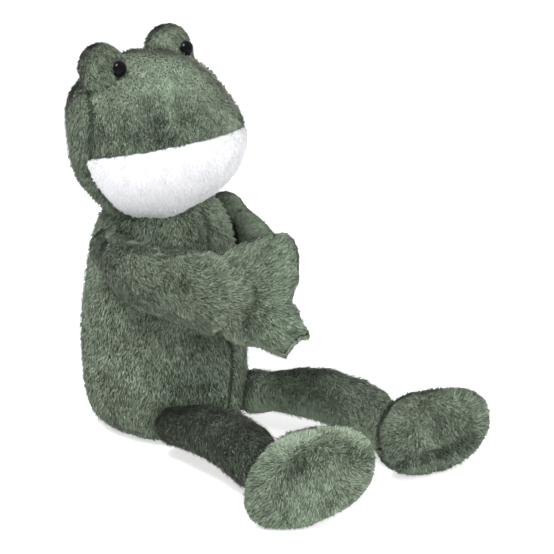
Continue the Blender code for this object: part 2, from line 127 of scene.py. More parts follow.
def clouds(points, size, shift=0.0):
    """Soft patches from -1 to 1 that are about size across; shift picks other patches."""
    at = points / size + shift
    cell = np.floor(at).astype(int)
    part = ease(at - cell, 0, 1)
    total = np.zeros(len(points))
    for corner in itertools.product((0, 1), repeat=3):
        share = np.where(corner, part, 1 - part).prod(axis=1)
        i, j, k = ((cell + corner) % len(lattice)).T
        total += share * lattice[i, j, k]
    return total * 2 - 1


def moved_by(points, matrix):
    there = np.array(matrix)
    return points @ there[:3, :3].T + there[:3, 3]


def turned_into(points, matrix):
    """Points of the whole frog, read in another frame."""
    return moved_by(points, matrix.inverted())


def from_line(points, line):
    """The way to each point from the nearest place on a line of straight runs."""
    best, near = np.zeros_like(points), np.full(len(points), np.inf)
    for a, b in zip(line, line[1:]):
        a, run = np.array(a), np.array(b) - np.array(a)
        share = np.clip((points - a) @ run / max(run @ run, 1e-12), 0, 1)
        off = points - a - share[:, None] * run
        gone = np.linalg.norm(off, axis=1)
        closer = gone < near
        best[closer], near[closer] = off[closer], gone[closer]
    return best


def bell(gone, width):
    """1 where nothing is gone, falling off smoothly over about the width."""
    return np.exp(-(gone / width) ** 2)


def near_line(points, line, width):
    return bell(np.linalg.norm(from_line(points, line), axis=1), width)


def to_nearest(points, spots):
    """How far each point is from the nearest of some spots."""
    return np.min([np.linalg.norm(points - spot, axis=1) for spot in spots], axis=0)


def middle_of(node):
    low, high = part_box(node)
    return np.array((low + high) / 2)


# Forms

def linked(name, mesh):
    made = bpy.data.objects.new(name, mesh)
    bpy.context.scene.collection.objects.link(made)
    return made


def as_changed(obj):
    """The object's mesh with its modifiers applied; the object itself is removed."""
    graph = bpy.context.evaluated_depsgraph_get()
    mesh = bpy.data.meshes.new_from_object(obj.evaluated_get(graph))
    bpy.data.objects.remove(obj)
    return mesh


def mesh_from(bm, name):
    made = bpy.data.meshes.new(name)
    bm.to_mesh(made)
    bm.free()
    return made


def outer_form(nodes, square):
    """The outside of nested solids, as one even mesh of squares."""
    bm = bmesh.new()
    for node in nodes:
        bm.from_mesh(frame["nodes"][node].data)
    bmesh.ops.remove_doubles(bm, verts=bm.verts, dist=same_spot)
    form = linked("form", mesh_from(bm, "form"))
    evened = form.modifiers.new("squares", "REMESH")
    evened.mode = "VOXEL"
    evened.voxel_size = square
    return as_changed(form)


def rows_of(collection, label):
    found = np.empty(len(collection) * 3, np.float32)
    collection.foreach_get(label, found)
    return found.reshape(-1, 3).astype(float)


def places(mesh):
    return rows_of(mesh.vertices, "co")


def outward(mesh):
    return rows_of(mesh.vertex_normals, "vector")


def set_places(mesh, points):
    mesh.vertices.foreach_set("co", points.astype(np.float32).ravel())
    mesh.update()


def relaxed(mesh):
    """Takes the facets off a form without shrinking it: each step in has a step out."""
    rounds, step_in, step_out = 6, 0.5, -0.52
    ends = np.empty(len(mesh.edges) * 2, np.int32)
    mesh.edges.foreach_get("vertices", ends)
    a, b = ends.reshape(-1, 2).T
    count = np.bincount(ends, minlength=len(mesh.vertices))[:, None]
    points = places(mesh)
    for step in (step_in, step_out) * rounds:
        total = np.zeros_like(points)
        np.add.at(total, a, points[b])
        np.add.at(total, b, points[a])
        points += step * (total / count - points)
    set_places(mesh, points)


def stuffed(mesh):
    """Blows a cover up from inside, as its stuffing does, but not where limbs join."""
    steps = 20
    start = places(mesh)
    cover = linked("cover", mesh)
    cloth = cover.modifiers.new("cloth", "CLOTH")
    settings = cloth.settings
    settings.mass = 0.01
    settings.quality = 4
    settings.tension_stiffness = settings.compression_stiffness = 3
    settings.shear_stiffness = 1.5
    settings.bending_stiffness = 0.4
    settings.use_pressure = True
    settings.uniform_pressure_force = 8
    settings.effector_weights.gravity = 0
    cloth.point_cache.frame_start, cloth.point_cache.frame_end = 1, steps
    for step in range(1, steps + 1):
        bpy.context.scene.frame_set(step)
    made = as_changed(cover)
    bpy.context.scene.frame_set(1)
    went = places(made) - start
    far = np.linalg.norm(went, axis=1, keepdims=True)
    went *= np.minimum(1, stuffing_swell / np.maximum(far, 1e-9))
    went *= 1 - near_joints(start)[:, None]
    set_places(made, start + went)
    return made


def reshaped(mesh, table):
    """Moves a form's lower and upper edge, by amounts that change across it.

    Across runs from the frog's right and back to its left and front. Each row of the table
    is a place across, then how far the lower and the upper edge go up.
    """
    across = np.array((math.sqrt(0.5), -math.sqrt(0.5), 0))
    slice_width = 0.004
    points = places(mesh)
    at, height = points @ across, points[:, 2]
    cell = np.floor((at - at.min()) / slice_width).astype(int)
    low, high = np.full(cell.max() + 1, np.inf), np.full(cell.max() + 1, -np.inf)
    np.minimum.at(low, cell, height)
    np.maximum.at(high, cell, height)
    middles = at.min() + (np.arange(len(low)) + 0.5) * slice_width
    low, high = np.interp(at, middles, low), np.interp(at, middles, high)
    share = np.clip((height - low) / (high - low), 0, 1)
    where, lower, upper = np.array(table).T
    points[:, 2] += np.interp(at, where, lower) * (1 - share) + np.interp(at, where, upper) * share
    set_places(mesh, points)


def finer(mesh):
    form = linked("finer", mesh)
    form.modifiers.new("finer", "SUBSURF").levels = 1
    return as_changed(form)


# Relief and shade: each line is a list of points on the piece, then how deep it presses
# the fabric in (below zero it stands up), how wide it is and how much it darkens the pile.
# Along seams that darkening is their dark join; in creases, hollows and beside the arm it is
# painted shade, and below zero, on raised ridges, it is painted highlight
lines = {
    "head": [
        # A raised ridge down the face with painted highlight, then hollows beside it with painted
        # shade
        ([(-0.0090, -0.0158, 0.2168), (-0.0123, -0.0205, 0.2128),
          (-0.0174, -0.0283, 0.2037), (-0.0228, -0.0345, 0.1955)], -0.0018, 0.0030, -0.24),
        ([(-0.0250, -0.0225, 0.2070), (-0.0285, -0.0290, 0.1990),
          (-0.0330, -0.0320, 0.1915)], 0.0016, 0.0075, 0.14),
        ([(-0.0085, -0.0275, 0.2085), (-0.0120, -0.0350, 0.2000),
          (-0.0150, -0.0400, 0.1930)], 0.0010, 0.0058, 0.06),
        ([(-0.0396, 0.0189, 0.2103), (-0.0462, 0.0093, 0.2007),
          (-0.0504, 0.0041, 0.1878), (-0.0542, -0.0006, 0.1749)], 0.0010, 0.0014, 0.22),
        ([(0.0420, 0.0130, 0.2103), (0.0470, 0.0033, 0.2007),
          (0.0510, -0.0019, 0.1878), (0.0540, -0.0060, 0.1749)], 0.0012, 0.0018, 0.18),
    ],
    "torso": [
        ([(0.0068, -0.0519, 0.0780), (0.0068, -0.0519, 0.0563), (0.0064, -0.0522, 0.0408),
          (0.0067, -0.0510, 0.0150)], 0.0015, 0.0011, 0.45),
        ([(-0.0184, -0.0485, 0.0412), (-0.0135, -0.0501, 0.0383),
          (-0.0070, -0.0518, 0.0376)], 0.0014, 0.0014, 0.18),
        # Painted shadow on the torso below the arm, then painted shade on the chest above it
        ([(-0.0437, -0.0108, 0.0836), (-0.0364, -0.0303, 0.0758), (-0.0220, -0.0451, 0.0679),
          (0.0050, -0.0521, 0.0553)], 0.0004, 0.0070, 0.08),
        ([(-0.0317, -0.0237, 0.1232), (-0.0257, -0.0307, 0.1217), (-0.0139, -0.0382, 0.1206),
          (0.0073, -0.0411, 0.1172)], 0.0004, 0.0060, 0.14),
        ([(0.0040, -0.0310, 0.1380), (0.0030, -0.0370, 0.1290),
          (0.0010, -0.0410, 0.1210)], 0.0012, 0.0016, 0.22),
    ],
    "arm_right": [
        ([(-0.0238, -0.0995, 0.1150), (-0.0236, -0.1000, 0.1110),
          (-0.0240, -0.0995, 0.1050)], 0.0012, 0.0012, 0.20),
        ([(-0.0290, -0.0986, 0.0984), (-0.0271, -0.0975, 0.0874)], 0.0018, 0.0032, 0.18),
    ],
    "arm_left": [],
    "leg_right": [
        ([(-0.0369, -0.1056, 0.0403), (-0.0321, -0.1152, 0.0375),
          (-0.0290, -0.1260, 0.0330)], 0.0009, 0.0016, 0.18),
    ],
    "leg_left": [],
    "foot_right": [
        # A crease across the sole with painted shade, a raised rim above it with painted
        # highlight, then dents with painted shade
        ([(-0.0576, -0.1688, 0.0374), (-0.0524, -0.1713, 0.0443),
          (-0.0457, -0.1754, 0.0477), (-0.0378, -0.1815, 0.0477),
          (-0.0272, -0.1904, 0.0383)], 0.0044, 0.0042, 0.16),
        ([(-0.0600, -0.1660, 0.0440), (-0.0530, -0.1690, 0.0530),
          (-0.0440, -0.1730, 0.0560), (-0.0330, -0.1800, 0.0550)], -0.0014, 0.0045, -0.04),
        ([(-0.0484, -0.1805, 0.0192), (-0.0388, -0.1864, 0.0240)], 0.0016, 0.0040, 0.12),
        ([(-0.0650, -0.1640, 0.0280), (-0.0560, -0.1700, 0.0330)], 0.0010, 0.0060, 0.10),
    ],
    "foot_left": [
        # A crease with painted shade, then a raised line with painted highlight
        ([(0.0277, -0.1684, 0.0109), (0.0405, -0.1735, 0.0147),
          (0.0576, -0.1773, 0.0156), (0.0736, -0.1797, 0.0190)], 0.0028, 0.0032, 0.20),
        ([(0.0879, -0.1767, 0.0344), (0.0860, -0.1767, 0.0300)], -0.0010, 0.0030, -0.10),
    ],
    "eye_dome_right": [],
    "eye_dome_left": [],
}


# The hollow of each eye dome runs back from its bead, darkened with painted shade
for side in sides:
    bead = middle_of(f"eye_bead_{side}")
    lines[f"eye_dome_{side}"].append(
        ([bead + (-0.0022, 0.0022, 0), bead + (-0.0055, 0.0055, 0.0010)], 0.0006, 0.0056, 0.10)
    )


def lay_lines(mesh, name):
    """Brings the lines onto the fabric, each in short runs that go by its nearest points."""
    runs, nearest, least_gap = 6, 4, 1e-5
    points = places(mesh)
    laid = []
    for line, *rest in lines[name]:
        line = np.array(line, float)
        rows = np.arange(len(line))
        at = np.linspace(0, rows[-1], runs * rows[-1] + 1)
        fine = np.stack([np.interp(at, rows, line[:, k]) for k in range(3)], axis=1)
        gaps = np.linalg.norm(points[None] - fine[:, None], axis=2)
        near = np.argsort(gaps, axis=1)[:, :nearest]
        weights = 1 / (np.take_along_axis(gaps, near, axis=1) + least_gap)
        spots = (points[near] * weights[..., None]).sum(axis=1) / weights.sum(axis=1)[:, None]
        eased = spots.copy()
        eased[1:-1] = (spots[:-2] + 2 * spots[1:-1] + spots[2:]) / 4
        laid.append((eased, *rest))
    lines[name] = laid


def pressed_by_lines(mesh, name):
    points, out = places(mesh), outward(mesh)
    for line, depth, width, _ in lines[name]:
        points = points - out * (depth * near_line(points, line, width))[:, None]
    set_places(mesh, points)


def painted_shade_and_seams(points, name):
    spread = 1.3
    total = np.zeros(len(points))
    for line, _, width, dark in lines[name]:
        total += dark * near_line(points, line, width * spread)
    return total


def parted(nap, name):
    """The same nap, leaning away from the narrow lines where the fabric is drawn in."""
    widest, spread, lean = 0.0055, 1.6, 1.3
    no_lean, full_lean = 0.001, 0.007

    def changed(points):
        flow = unit(nap(points))
        for line, depth, width, _ in lines[name]:
            if depth < 0 or width > widest:
                continue
            share = near_line(points, line, width * spread)
            for end in (line[0], line[-1]):
                share = share * ease(np.linalg.norm(points - end, axis=1), no_lean, full_lean)
            flow = flow + unit(from_line(points, line)) * (lean * share)[:, None]
        return flow
    return changed


# Where the fabric stands out or lies back: a place, how far about it and how much
swellings = {
    "torso": [((0.0300, -0.0500, 0.0160), 0.012, 0.0020)],
    "head": [
        ((-0.0400, -0.0163, 0.1500), 0.020, 0.0008), ((-0.0170, -0.0293, 0.1453), 0.022, 0.0014),
        ((-0.0011, -0.0335, 0.1473), 0.020, 0.0006), ((0.0249, -0.0399, 0.1650), 0.022, 0.0016),
        ((-0.0071, 0.0180, 0.2230), 0.012, 0.0028), ((0.0130, -0.0046, 0.2204), 0.016, 0.0012),
        ((-0.0520, 0.0180, 0.1760), 0.026, 0.0018), ((0.0350, -0.0150, 0.2080), 0.016, 0.0014),
    ],
    "eye_dome_right": [((-0.0427, 0.0200, 0.2290), 0.012, -0.0012)],
    "eye_dome_left": [((0.0190, 0.0241, 0.2345), 0.010, -0.0008)],
    "arm_right": [((-0.0590, 0.0010, 0.1220), 0.018, -0.0018)],
    "arm_left": [((0.0560, -0.0300, 0.1200), 0.030, -0.0020)],
    "foot_right": [
        ((-0.0330, -0.1900, 0.0200), 0.020, 0.0026), ((-0.0620, -0.1560, 0.0240), 0.014, 0.0026),
    ],
    "foot_left": [((0.0484, -0.1706, 0.0002), 0.018, -0.0012)],
    "leg_right": [((-0.0370, -0.0300, 0.0120), 0.013, -0.0040)],
    "leg_left": [
        ((0.0294, -0.0530, 0.0070), 0.022, -0.0010),
        ((0.0300, -0.0360, 0.0100), 0.010, 0.0030), ((0.0330, -0.0340, 0.0160), 0.010, 0.0030),
    ],
}


def swelled(mesh, name):
    points, out = places(mesh), outward(mesh)
    for middle, about, amount in swellings[name]:
        points = points + out * (amount * bell(to_nearest(points, [middle]), about))[:, None]
    set_places(mesh, points)


def spread_at_root(mesh, node):
    """Widens and sinks a dome below its middle, where it is sewn to the head."""
    more, sink, root_band = 0.14, 0.0055, (-0.002, 0.012)
    middle = middle_of(node)
    up = np.array(head_axes.col[2])
    off = places(mesh) - middle
    rise = off @ up
    root = ease(-rise, *root_band)[:, None]
    flat = off - rise[:, None] * up
    set_places(mesh, middle + rise[:, None] * up + flat * (1 + more * root) - up * (sink * root))


def near_joints(points):
    """1 where a limb's fabric meets the next body's, 0 away from there."""
    still_within, free_beyond = 0.017, 0.030
    limbs = [place for name, place in joint_places.items() if name != "head_turn"]
    return 1 - ease(to_nearest(points, limbs), still_within, free_beyond)


def set_back(mesh, name, squeezed):
    """Draws a form in by the height of its pile, less where it is squeezed or meets a body."""
    joint_share = 0.5
    points = places(mesh)
    back = pile_height - (pile_height - pressed_height) * squeezed(points)
    back = back * (1 - joint_share * near_joints(points))
    if name == "head":
        back = np.where(muzzle_depth(points) > 0, 0, back)
    points = points - outward(mesh) * back[:, None]
    points[:, 2] = np.maximum(points[:, 2], floor_clear)
    set_places(mesh, points)


def on_floor(points):
    """1 where the floor presses the pile, 0 above it."""
    pressed_below, free_above = 0.0006, 0.0040
    return 1 - ease(points[:, 2], pressed_below, free_above)


def patch_places(side):
    """The palm's patch in the palms' frame: its back, its middle and its half sizes."""
    patch = turned_into(places(frame["nodes"][f"palm_patch_{side}"].data), palm_frame)
    low, high = patch.min(axis=0), patch.max(axis=0)
    back = low[0] if side == "right" else high[0]
    return back, ((low + high) / 2)[1:], ((high - low) / 2)[1:]


def off_patch(side):
    """How far a point of an arm's fabric is outside the patch that is sewn on its palm."""
    palm_side, far_off, power = 0.0045, 1.0, 4
    _, middle, half = patch_places(side)

    def gone(points):
        inside = turned_into(points, palm_frame)
        share = (((inside[:, 1:] - middle) / half) ** power).sum(axis=1) ** (1 / power)
        on_palm = np.abs(inside[:, 0]) < palm_side
        return np.where(on_palm, (share - 1) * half.mean(), far_off)
    return gone


def by_patch(side):
    """1 where the pile is sewn down beside the patch, 0 away from it."""
    sewn_within, free_beyond = -0.0010, 0.0020
    gone = off_patch(side)
    return lambda points: 1 - ease(gone(points), sewn_within, free_beyond)


def meet_patch(mesh, side):
    """Brings the palm's fabric up to the back of its patch."""
    flat_within, free_beyond = 0.0005, 0.0060
    points = places(mesh)
    back = patch_places(side)[0]
    inside = turned_into(points, palm_frame)
    share = 1 - ease(off_patch(side)(points), flat_within, free_beyond)
    inside[:, 0] += share * (back - inside[:, 0])
    set_places(mesh, moved_by(inside, palm_frame))


def under_beads(points):
    """1 where an eye bead presses the pile, 0 away from it."""
    pressed_within, free_beyond = 0.0050, 0.0072
    beads = [middle_of(f"eye_bead_{side}") for side in sides]
    return 1 - ease(to_nearest(points, beads), pressed_within, free_beyond)


# Pile

def toward(direction):
    """A nap that lies the same way all over."""
    return lambda points: np.tile(np.array(direction, float), (len(points), 1))


def down_along(start, end, along, down):
    """A way along a limb, from its start to its end, and down."""
    return unit(end - start) * along + np.array((0, 0, -down))


def arm_nap(side):
    """Down and along the arm, then spreading over the hand to its finger tips."""
    hand_off, fan_height, steepest, less_at_tips = 0.0115, 0.020, 1.2, 0.6
    wrist_band, tip_band = (-0.045, -0.018), (0.008, 0.030)
    hand = np.array(palm_frame @ Vector((sides[side] * hand_off, 0, 0)))
    ahead = -np.array(palm_frame.to_3x3().col[1])
    arm = down_along(joint_places[f"shoulder_{side}"], hand, along=0.75, down=0.80)

    def nap(points):
        inside = turned_into(points, palm_frame)
        gone, rise = -inside[:, 1], inside[:, 2]
        slope = np.clip(rise / fan_height, -steepest, steepest)
        slope = slope * (1 - less_at_tips * ease(gone, *tip_band))
        hand_flow = ahead + slope[:, None] * np.array((0, 0, 1))
        share = ease(gone, *wrist_band)[:, None]
        return arm + (hand_flow - arm) * share
    return nap


def leg_nap(side):
    foot = np.array(foot_middles[side])
    return toward(down_along(joint_places[f"hip_{side}"], foot, along=0.6, down=0.75))


def foot_frame(side):
    return (
        Matrix.Translation(foot_middles[side])
        @ Matrix.Rotation(-math.radians(foot_turns[side]), 4, "Z")
        @ Matrix.Rotation(-math.radians(foot_lean), 4, "X")
        @ Matrix.Rotation(math.radians(foot_rolls[side]), 4, "Y")
    )


def foot_nap(side):
    """Down the middle of the sole, out towards its rim, and ahead over the upper."""
    sole_down, upper_down = np.array((0.25, 0, -0.75)), np.array((0, 0, -0.3))
    rim_out, rim_down_less, upper_out, upper_ahead = 1.2, 0.8, 0.5, 0.9
    seam_band, rim_band = (-0.002, 0.006), (0.012, 0.032)
    place = foot_frame(side)
    middle = np.array(place.translation)
    ahead = -np.array(place.to_3x3().col[1])

    def nap(points):
        inside = turned_into(points, place)
        behind = ease(inside[:, 1], *seam_band)[:, None]
        fan = unit(points - middle)
        rim = ease(np.linalg.norm(points - middle, axis=1), *rim_band)[:, None]
        sole = fan * (rim_out * rim) + sole_down * (1 - rim_down_less * rim)
        upper = fan * upper_out + ahead * upper_ahead + upper_down
        return sole * (1 - behind) + upper * behind
    return nap


# A tuft has a root, two sides and a tip: how far along it they are, which side they are on,
# and the two faces between them
strand_heights = (0.0, strand_middle, strand_middle, 1.0)
strand_sides = (0.0, 1.0, -1.0, 0.0)
strand_points = len(strand_heights)
low_half, high_half = (0, 2, 1), (1, 2, 3)


def scattered(mesh, per_side):
    """Roots by chance, some on each square, and the way out of the fabric there."""
    squares = np.array([p.vertices[:] for p in mesh.polygons if len(p.vertices) == 4])
    p, n = places(mesh)[squares], outward(mesh)[squares]
    roots, ups = [], []
    for i, j in itertools.product(range(per_side), repeat=2):
        u = ((i + draw.random(len(p))) / per_side)[:, None]
        v = ((j + draw.random(len(p))) / per_side)[:, None]
        for corners, kept in ((p, roots), (n, ups)):
            kept.append(
                (corners[:, 0] * (1 - u) + corners[:, 1] * u) * (1 - v)
                + (corners[:, 3] * (1 - u) + corners[:, 2] * u) * v
            )
    return np.concatenate(roots), unit(np.concatenate(ups))


def leaned(first, second, angle):
    """From the first direction towards the second, by an angle for each row."""
    return first * np.cos(angle)[:, None] + second * np.sin(angle)[:, None]


def combed(nap, root, up, sway):
    """Which way each tuft lies, the way across it, and 1 where the nap parts."""
    parted_below, combed_above = 0.1, 0.7
    chance_swing, small_swing, large_swing = 0.8, 0.40, 0.30
    flow = unit(nap(root))
    flow = flow - up * (flow * up).sum(axis=1, keepdims=True)
    parting = 1 - ease(np.linalg.norm(flow, axis=1), parted_below, combed_above)
    flow = unit(flow)
    swing = (sway - 0.5) * chance_swing + clouds(root, 0.009, 3.3) * small_swing
    swing = swing + clouds(root, 0.024, 9.1) * large_swing
    flow = leaned(flow, np.cross(up, flow), swing)
    return flow, np.cross(up, flow), parting


def cut_short(long, root, tip, part, reach):
    """The lengths, less where a tuft would cross its seam by more than reach."""
    shortest = 0.2
    start, end = part(root), part(tip)
    short = np.clip((start + reach) / np.maximum(start - end, 1e-9), shortest, 1)
    return np.where(end < -reach, long * short, long)


def tufts(mesh, nap, per_side, length, width, lift, part, reach, squeezed, tone, lit_up_and_under=0.0):
    """Flat tapered tufts of pile, a few on each square, that lean with the nap.

    part gives how far a point is inside this piece's side of a seam; a tuft whose root
    isn't is left out, and one that would cross the seam by more than reach is shortened.
    The last argument is how much paler the tufts are on top of the piece and under it: painted
    light where they face up or down.
    """
    root, up = scattered(mesh, per_side)
    chance = draw.random((6, len(root)))
    keep = part(root) > 0
    root, up = root[keep], up[keep]
    sway, stand, size, girth, twist, shade = chance[:, keep]
    flow, across, parting = combed(nap, root, up, sway)

    # A few tufts stand well up, and where the pile is squeezed it lies flat and short
    stands_above, stands_more, parted_more = 0.90, 0.5, 0.70
    pressed_flatter, pressed_shorter, parted_shorter = 0.75, 0.6, 0.35
    flat = squeezed(root)
    rise = lift * (0.7 + 1.0 * stand ** 3) + stands_more * (stand > stands_above)
    rise = (rise + parted_more * parting) * (1 - pressed_flatter * flat)
    long = length * (0.7 + 0.6 * size)
    long = long * (1 - pressed_shorter * flat) * (1 - parted_shorter * parting)

    # Steep from the root to the middle, flatter from there to the tip
    steep_low, steep_high, steep_whole, widest_twist = 1.2, 0.5, 0.8, 1.2
    tip = root + leaned(flow, up, rise * steep_whole) * long[:, None]
    long = cut_short(long, root, tip, part, reach)
    base = root - up * root_sink
    middle = base + leaned(flow, up, rise * steep_low) * (long * strand_middle)[:, None]
    tip = middle + leaned(flow, up, rise * steep_high) * (long * (1 - strand_middle))[:, None]
    half = width * (0.75 + 0.5 * girth) / 2
    edge = leaned(across, up, (twist - 0.5) * widest_twist) * half[:, None]
    four = np.stack([base, middle + edge, middle - edge, tip], axis=1)
    four[:, :, 2] = np.maximum(four[:, :, 2], floor_clear)

    # Light falls on a tuft as on the fabric at its root, and on its own back at its tip
    own_share, side_swing = 0.5, 0.8
    along = leaned(flow, up, rise)
    lean = unit(up - along * (up * along).sum(axis=1, keepdims=True))
    high = unit(up * own_share + lean * own_share + across * ((shade - 0.5) * side_swing)[:, None])
    facing = np.stack([up, unit(up + high), unit(up + high), high], axis=1)

    # Tone and warmth differ from tuft to tuft, and from one small patch to the next
    up_and_under_band, chance_tone, patch_tone = (0.50, 0.95), 0.46, 0.11
    mean_warmth, patch_warmth, chance_warmth = 0.22, 0.28, 0.3
    # Painted light: tufts that face up or down are paler
    up_and_under_light = lit_up_and_under * ease(np.abs(up[:, 2]), *up_and_under_band)
    level = tone(root) + up_and_under_light + (shade - 0.5) * chance_tone
    level = level + patch_tone * clouds(root, 0.0020, 4.4)
    warmth = mean_warmth + patch_warmth * clouds(root, 0.020, 5.7) + chance_warmth * (girth - 0.5)
    return {
        "points": four, "facing": facing,
        "tone": np.clip(level, 0.02, 0.98), "warmth": np.clip(warmth, 0, 0.99),
    }


def add_bake_map(mesh, skin_count, made):
    """A map for baking: a cell for each face of the fabric, and one shared chart of tones.

    The chart's lower half runs from dark to pale tufts across, and from root to tip up each
    band of warmth, so that tufts which look alike share the same spot.
    """
    chart_top, cells_low, cells_room, cell_half = 0.48, 0.52, 0.46, 0.45
    bands, band_low, band_room, strand_half = 4, 0.05, 0.9, 0.006
    starts = np.empty(len(mesh.polygons), np.int32)
    counts = np.empty(len(mesh.polygons), np.int32)
    mesh.polygons.foreach_get("loop_start", starts)
    mesh.polygons.foreach_get("loop_total", counts)
    starts, counts = starts[:skin_count], counts[:skin_count]
    columns = math.ceil(math.sqrt(skin_count / cells_room))
    cell = np.repeat(np.arange(skin_count), counts)
    corner = np.arange(counts.sum()) - np.repeat(starts, counts)
    turn_by = 2 * math.pi * (corner + 0.5) / np.repeat(counts, counts)
    u = (cell % columns + 0.5 + cell_half * np.cos(turn_by)) / columns
    v = cells_low + (cell // columns + 0.5 + cell_half * np.sin(turn_by)) / columns
    skin = np.stack([u, v], axis=1)
    band = np.floor(made["warmth"] * bands)[:, None]
    strand_u = made["tone"][:, None] + strand_half * np.array(strand_sides)
    strand_v = (band + band_low + band_room * np.array(strand_heights)) / bands * chart_top
    strand = np.stack([strand_u, strand_v], axis=2)
    spots = np.concatenate([
        skin, strand[:, list(low_half)].reshape(-1, 2), strand[:, list(high_half)].reshape(-1, 2),
    ])
    chart = mesh.uv_layers.new(name="OFBake")
    chart.data.foreach_set("uv", spots.astype(np.float32).ravel())


def piece_of(name, mesh, made, skin_finish, pile_finish):
    """One piece from its fabric and its tufts, with what the materials read."""
    skin_tone, skin_warmth = 0.5, 0.3
    skin_points, skin_normals = places(mesh), outward(mesh)
    skin_faces = [p.vertices[:] for p in mesh.polygons]
    count, first = len(made["points"]), len(skin_points)
    at = first + strand_points * np.arange(count)[:, None]
    strand_faces = (at + low_half).tolist() + (at + high_half).tolist()
    points = np.concatenate([skin_points, made["points"].reshape(-1, 3)])
    facing = np.concatenate([skin_normals, made["facing"].reshape(-1, 3)])
    whole = bpy.data.meshes.new(name)
    whole.from_pydata(points.tolist(), [], skin_faces + strand_faces)
    whole.materials.append(skin_finish)
    whole.materials.append(pile_finish)
    slots = np.repeat((0, 1), (len(skin_faces), 2 * count)).astype(np.int32)
    whole.polygons.foreach_set("material_index", slots)
    whole.shade_smooth()
    for label, on_skin, on_strands in (
        ("along", 0.0, np.tile(strand_heights, count)),
        ("tone", skin_tone, np.repeat(made["tone"], strand_points)),
        ("warmth", skin_warmth, np.repeat(made["warmth"], strand_points)),
    ):
        values = np.concatenate([np.full(first, on_skin), on_strands])
        kept = whole.attributes.new(label, "FLOAT", "POINT")
        kept.data.foreach_set("value", values.astype(np.float32))
    add_bake_map(whole, len(skin_faces), made)
    whole.normals_split_custom_set_from_vertices(facing.tolist())
    return linked(name, whole)


# Materials

def shader_group(name, inputs, outputs):
    group = bpy.data.node_groups.new(name, "ShaderNodeTree")
    for label, kind, value in inputs:
        group.interface.new_socket(label, in_out="INPUT", socket_type=kind).default_value = value
    for label, kind in outputs:
        group.interface.new_socket(label, in_out="OUTPUT", socket_type=kind)
    return group, group.nodes.new("NodeGroupInput"), group.nodes.new("NodeGroupOutput")


def feed(tree, node, values):
    """Gives a node's inputs their values, each a socket or a constant."""
    for label, value in values.items():
        if isinstance(value, bpy.types.NodeSocket):
            tree.links.new(value, node.inputs[label])
        else:
            node.inputs[label].default_value = value


def added(tree, kind, values=None, **settings):
    """A new node, with its settings made and its inputs fed."""
    node = tree.nodes.new(kind)
    for label, value in settings.items():
        setattr(node, label, value)
    feed(tree, node, values or {})
    return node


def placed(tree, group, values):
    return added(tree, "ShaderNodeGroup", values, node_tree=group)


def mixed(tree, share, first, second):
    """A mix of two colours."""
    values = {0: share, 6: first, 7: second}
    return added(tree, "ShaderNodeMix", values, data_type="RGBA").outputs[2]


def computed(tree, operation, first, second):
    return added(tree, "ShaderNodeMath", {0: first, 1: second}, operation=operation).outputs[0]


def between(tree, value, low, high, to_low, to_high):
    """A value eased from one range to another."""
    values = dict(enumerate((value, low, high, to_low, to_high)))
    return added(tree, "ShaderNodeMapRange", values, interpolation_type="SMOOTHSTEP").outputs[0]


def read(tree, label):
    return added(tree, "ShaderNodeAttribute", attribute_name=label).outputs["Fac"]


def grain(tree, scale, detail=2):
    where = added(tree, "ShaderNodeTexCoord").outputs["Object"]
    values = {"Vector": where, "Scale": scale, "Detail": detail}
    return added(tree, "ShaderNodeTexNoise", values).outputs["Fac"]


colour, number = "NodeSocketColor", "NodeSocketFloat"
strand_colours = ("Root", "Shade", "Light", "Warm")


def strand_colour():
    """The colour of a tuft: dark at its root, painted shade deep in the pile, lighter and warmer
    at its tip.
    """
    group, come, go = shader_group(
        "strand colour", [(label, colour, (0.5, 0.5, 0.5, 1)) for label in strand_colours],
        [("Colour", colour), ("Roughness", number)],
    )
    root, shade, light, warm = (come.outputs[label] for label in strand_colours)
    tone = read(group, "tone")
    curve = computed(group, "POWER", tone, 1.6)
    cool_strand, warm_strand = (mixed(group, curve, shade, end) for end in (light, warm))
    strand = mixed(group, read(group, "warmth"), cool_strand, warm_strand)
    rise = between(group, read(group, "along"), 0.0, 0.5, 0.0, 1.0)
    feed(group, go, {
        "Colour": mixed(group, rise, root, strand),
        "Roughness": between(group, tone, 0.0, 1.0, 0.95, 0.7),
    })
    return group


def knitted_backing():
    """Fine relief and mottling of a knitted backing."""
    group, come, go = shader_group(
        "knitted backing",
        [("Dark", colour, (0.1, 0.1, 0.1, 1)), ("Pale", colour, (0.2, 0.2, 0.2, 1)),
         ("Scale", number, 300.0)],
        [("Colour", colour), ("Roughness", number), ("Height", number)],
    )
    dark, pale, scale = (come.outputs[label] for label in ("Dark", "Pale", "Scale"))
    fine, patches = grain(group, scale, detail=4), grain(group, 60)
    base = mixed(group, between(group, patches, 0.3, 0.7, 0.1, 0.9), dark, pale)
    feed(group, go, {
        "Colour": mixed(group, fine, base, dark), "Height": fine,
        "Roughness": between(group, fine, 0.3, 0.7, 0.75, 1.0),
    })
    return group


strands, backing = strand_colour(), knitted_backing()


def new_material(name):
    made = bpy.data.materials.new(name)
    made.use_nodes = True
    return made, made.node_tree, made.node_tree.nodes["Principled BSDF"]


def pile_material(name, colours, sheen, tint):
    """Tufts, which are lit alike from both sides."""
    made, tree, shader = new_material(name)
    node = placed(tree, strands, colours)
    faces = added(tree, "ShaderNodeNewGeometry")
    sign = between(tree, faces.outputs["Backfacing"], 0.0, 1.0, 1.0, -1.0)
    values = {0: faces.outputs["Normal"], "Scale": sign}
    one_way = added(tree, "ShaderNodeVectorMath", values, operation="SCALE")
    feed(tree, shader, {
        "Base Color": node.outputs["Colour"], "Roughness": node.outputs["Roughness"],
        "Normal": one_way.outputs[0], "Specular IOR Level": 0.15,
        "Sheen Weight": sheen, "Sheen Roughness": 0.5, "Sheen Tint": tint,
    })
    return made


